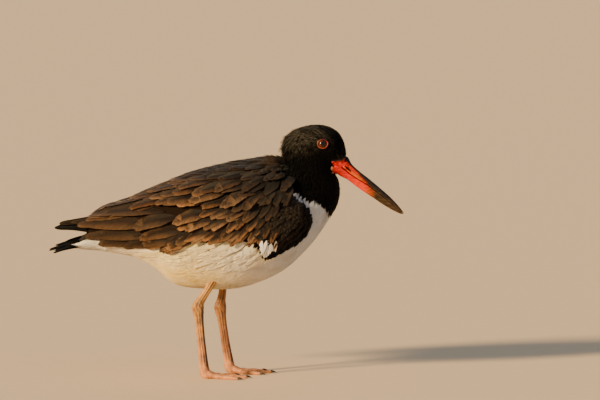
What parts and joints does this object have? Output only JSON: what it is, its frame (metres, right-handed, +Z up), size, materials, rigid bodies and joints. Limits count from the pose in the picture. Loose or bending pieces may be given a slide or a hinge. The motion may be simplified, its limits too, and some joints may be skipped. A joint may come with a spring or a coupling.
{
  "type": "oystercatcher",
  "caption": "Standing shorebird with a black head, brown folded wings, white underside, long straight red bill and pale pink legs.",
  "frame": {"origin": "middle of the whole bird's box, on the floor under its feet", "axes": "+X the way the bird faces, +Y to its left, +Z up"},
  "size_m": [0.355, 0.1112, 0.2527],
  "materials": {
    "black_plumage": "soft black feathers",
    "white_plumage": "soft white feathers",
    "tail_plumage": "black feathers with white roots",
    "brown_plumage": "brown feathers with paler edges",
    "bill": "smooth horn, red with a dusky outer half",
    "eye": "wet and glossy",
    "eyelid": "bare skin",
    "leg": "finely scaled skin",
    "claw": "dark horn"
  },
  "bodies": {
    "root": {"head": "black_plumage", "neck": "black_plumage", "torso": "white_plumage", "tail": "tail_plumage", "wing_left": "brown_plumage", "wing_right": "brown_plumage", "bill_upper": "bill", "bill_lower": "bill", "eye_left": "eye", "eye_right": "eye", "eyelid_left": "eyelid", "eyelid_right": "eyelid", "tibia_left": "leg", "tibia_right": "leg", "ankle_left": "leg", "ankle_right": "leg", "tarsus_left": "leg", "tarsus_right": "leg", "foot_left": "leg", "foot_right": "leg", "claw_inner_left": "claw", "claw_middle_left": "claw", "claw_outer_left": "claw", "claw_inner_right": "claw", "claw_middle_right": "claw", "claw_outer_right": "claw"}
  },
  "joints": []
}
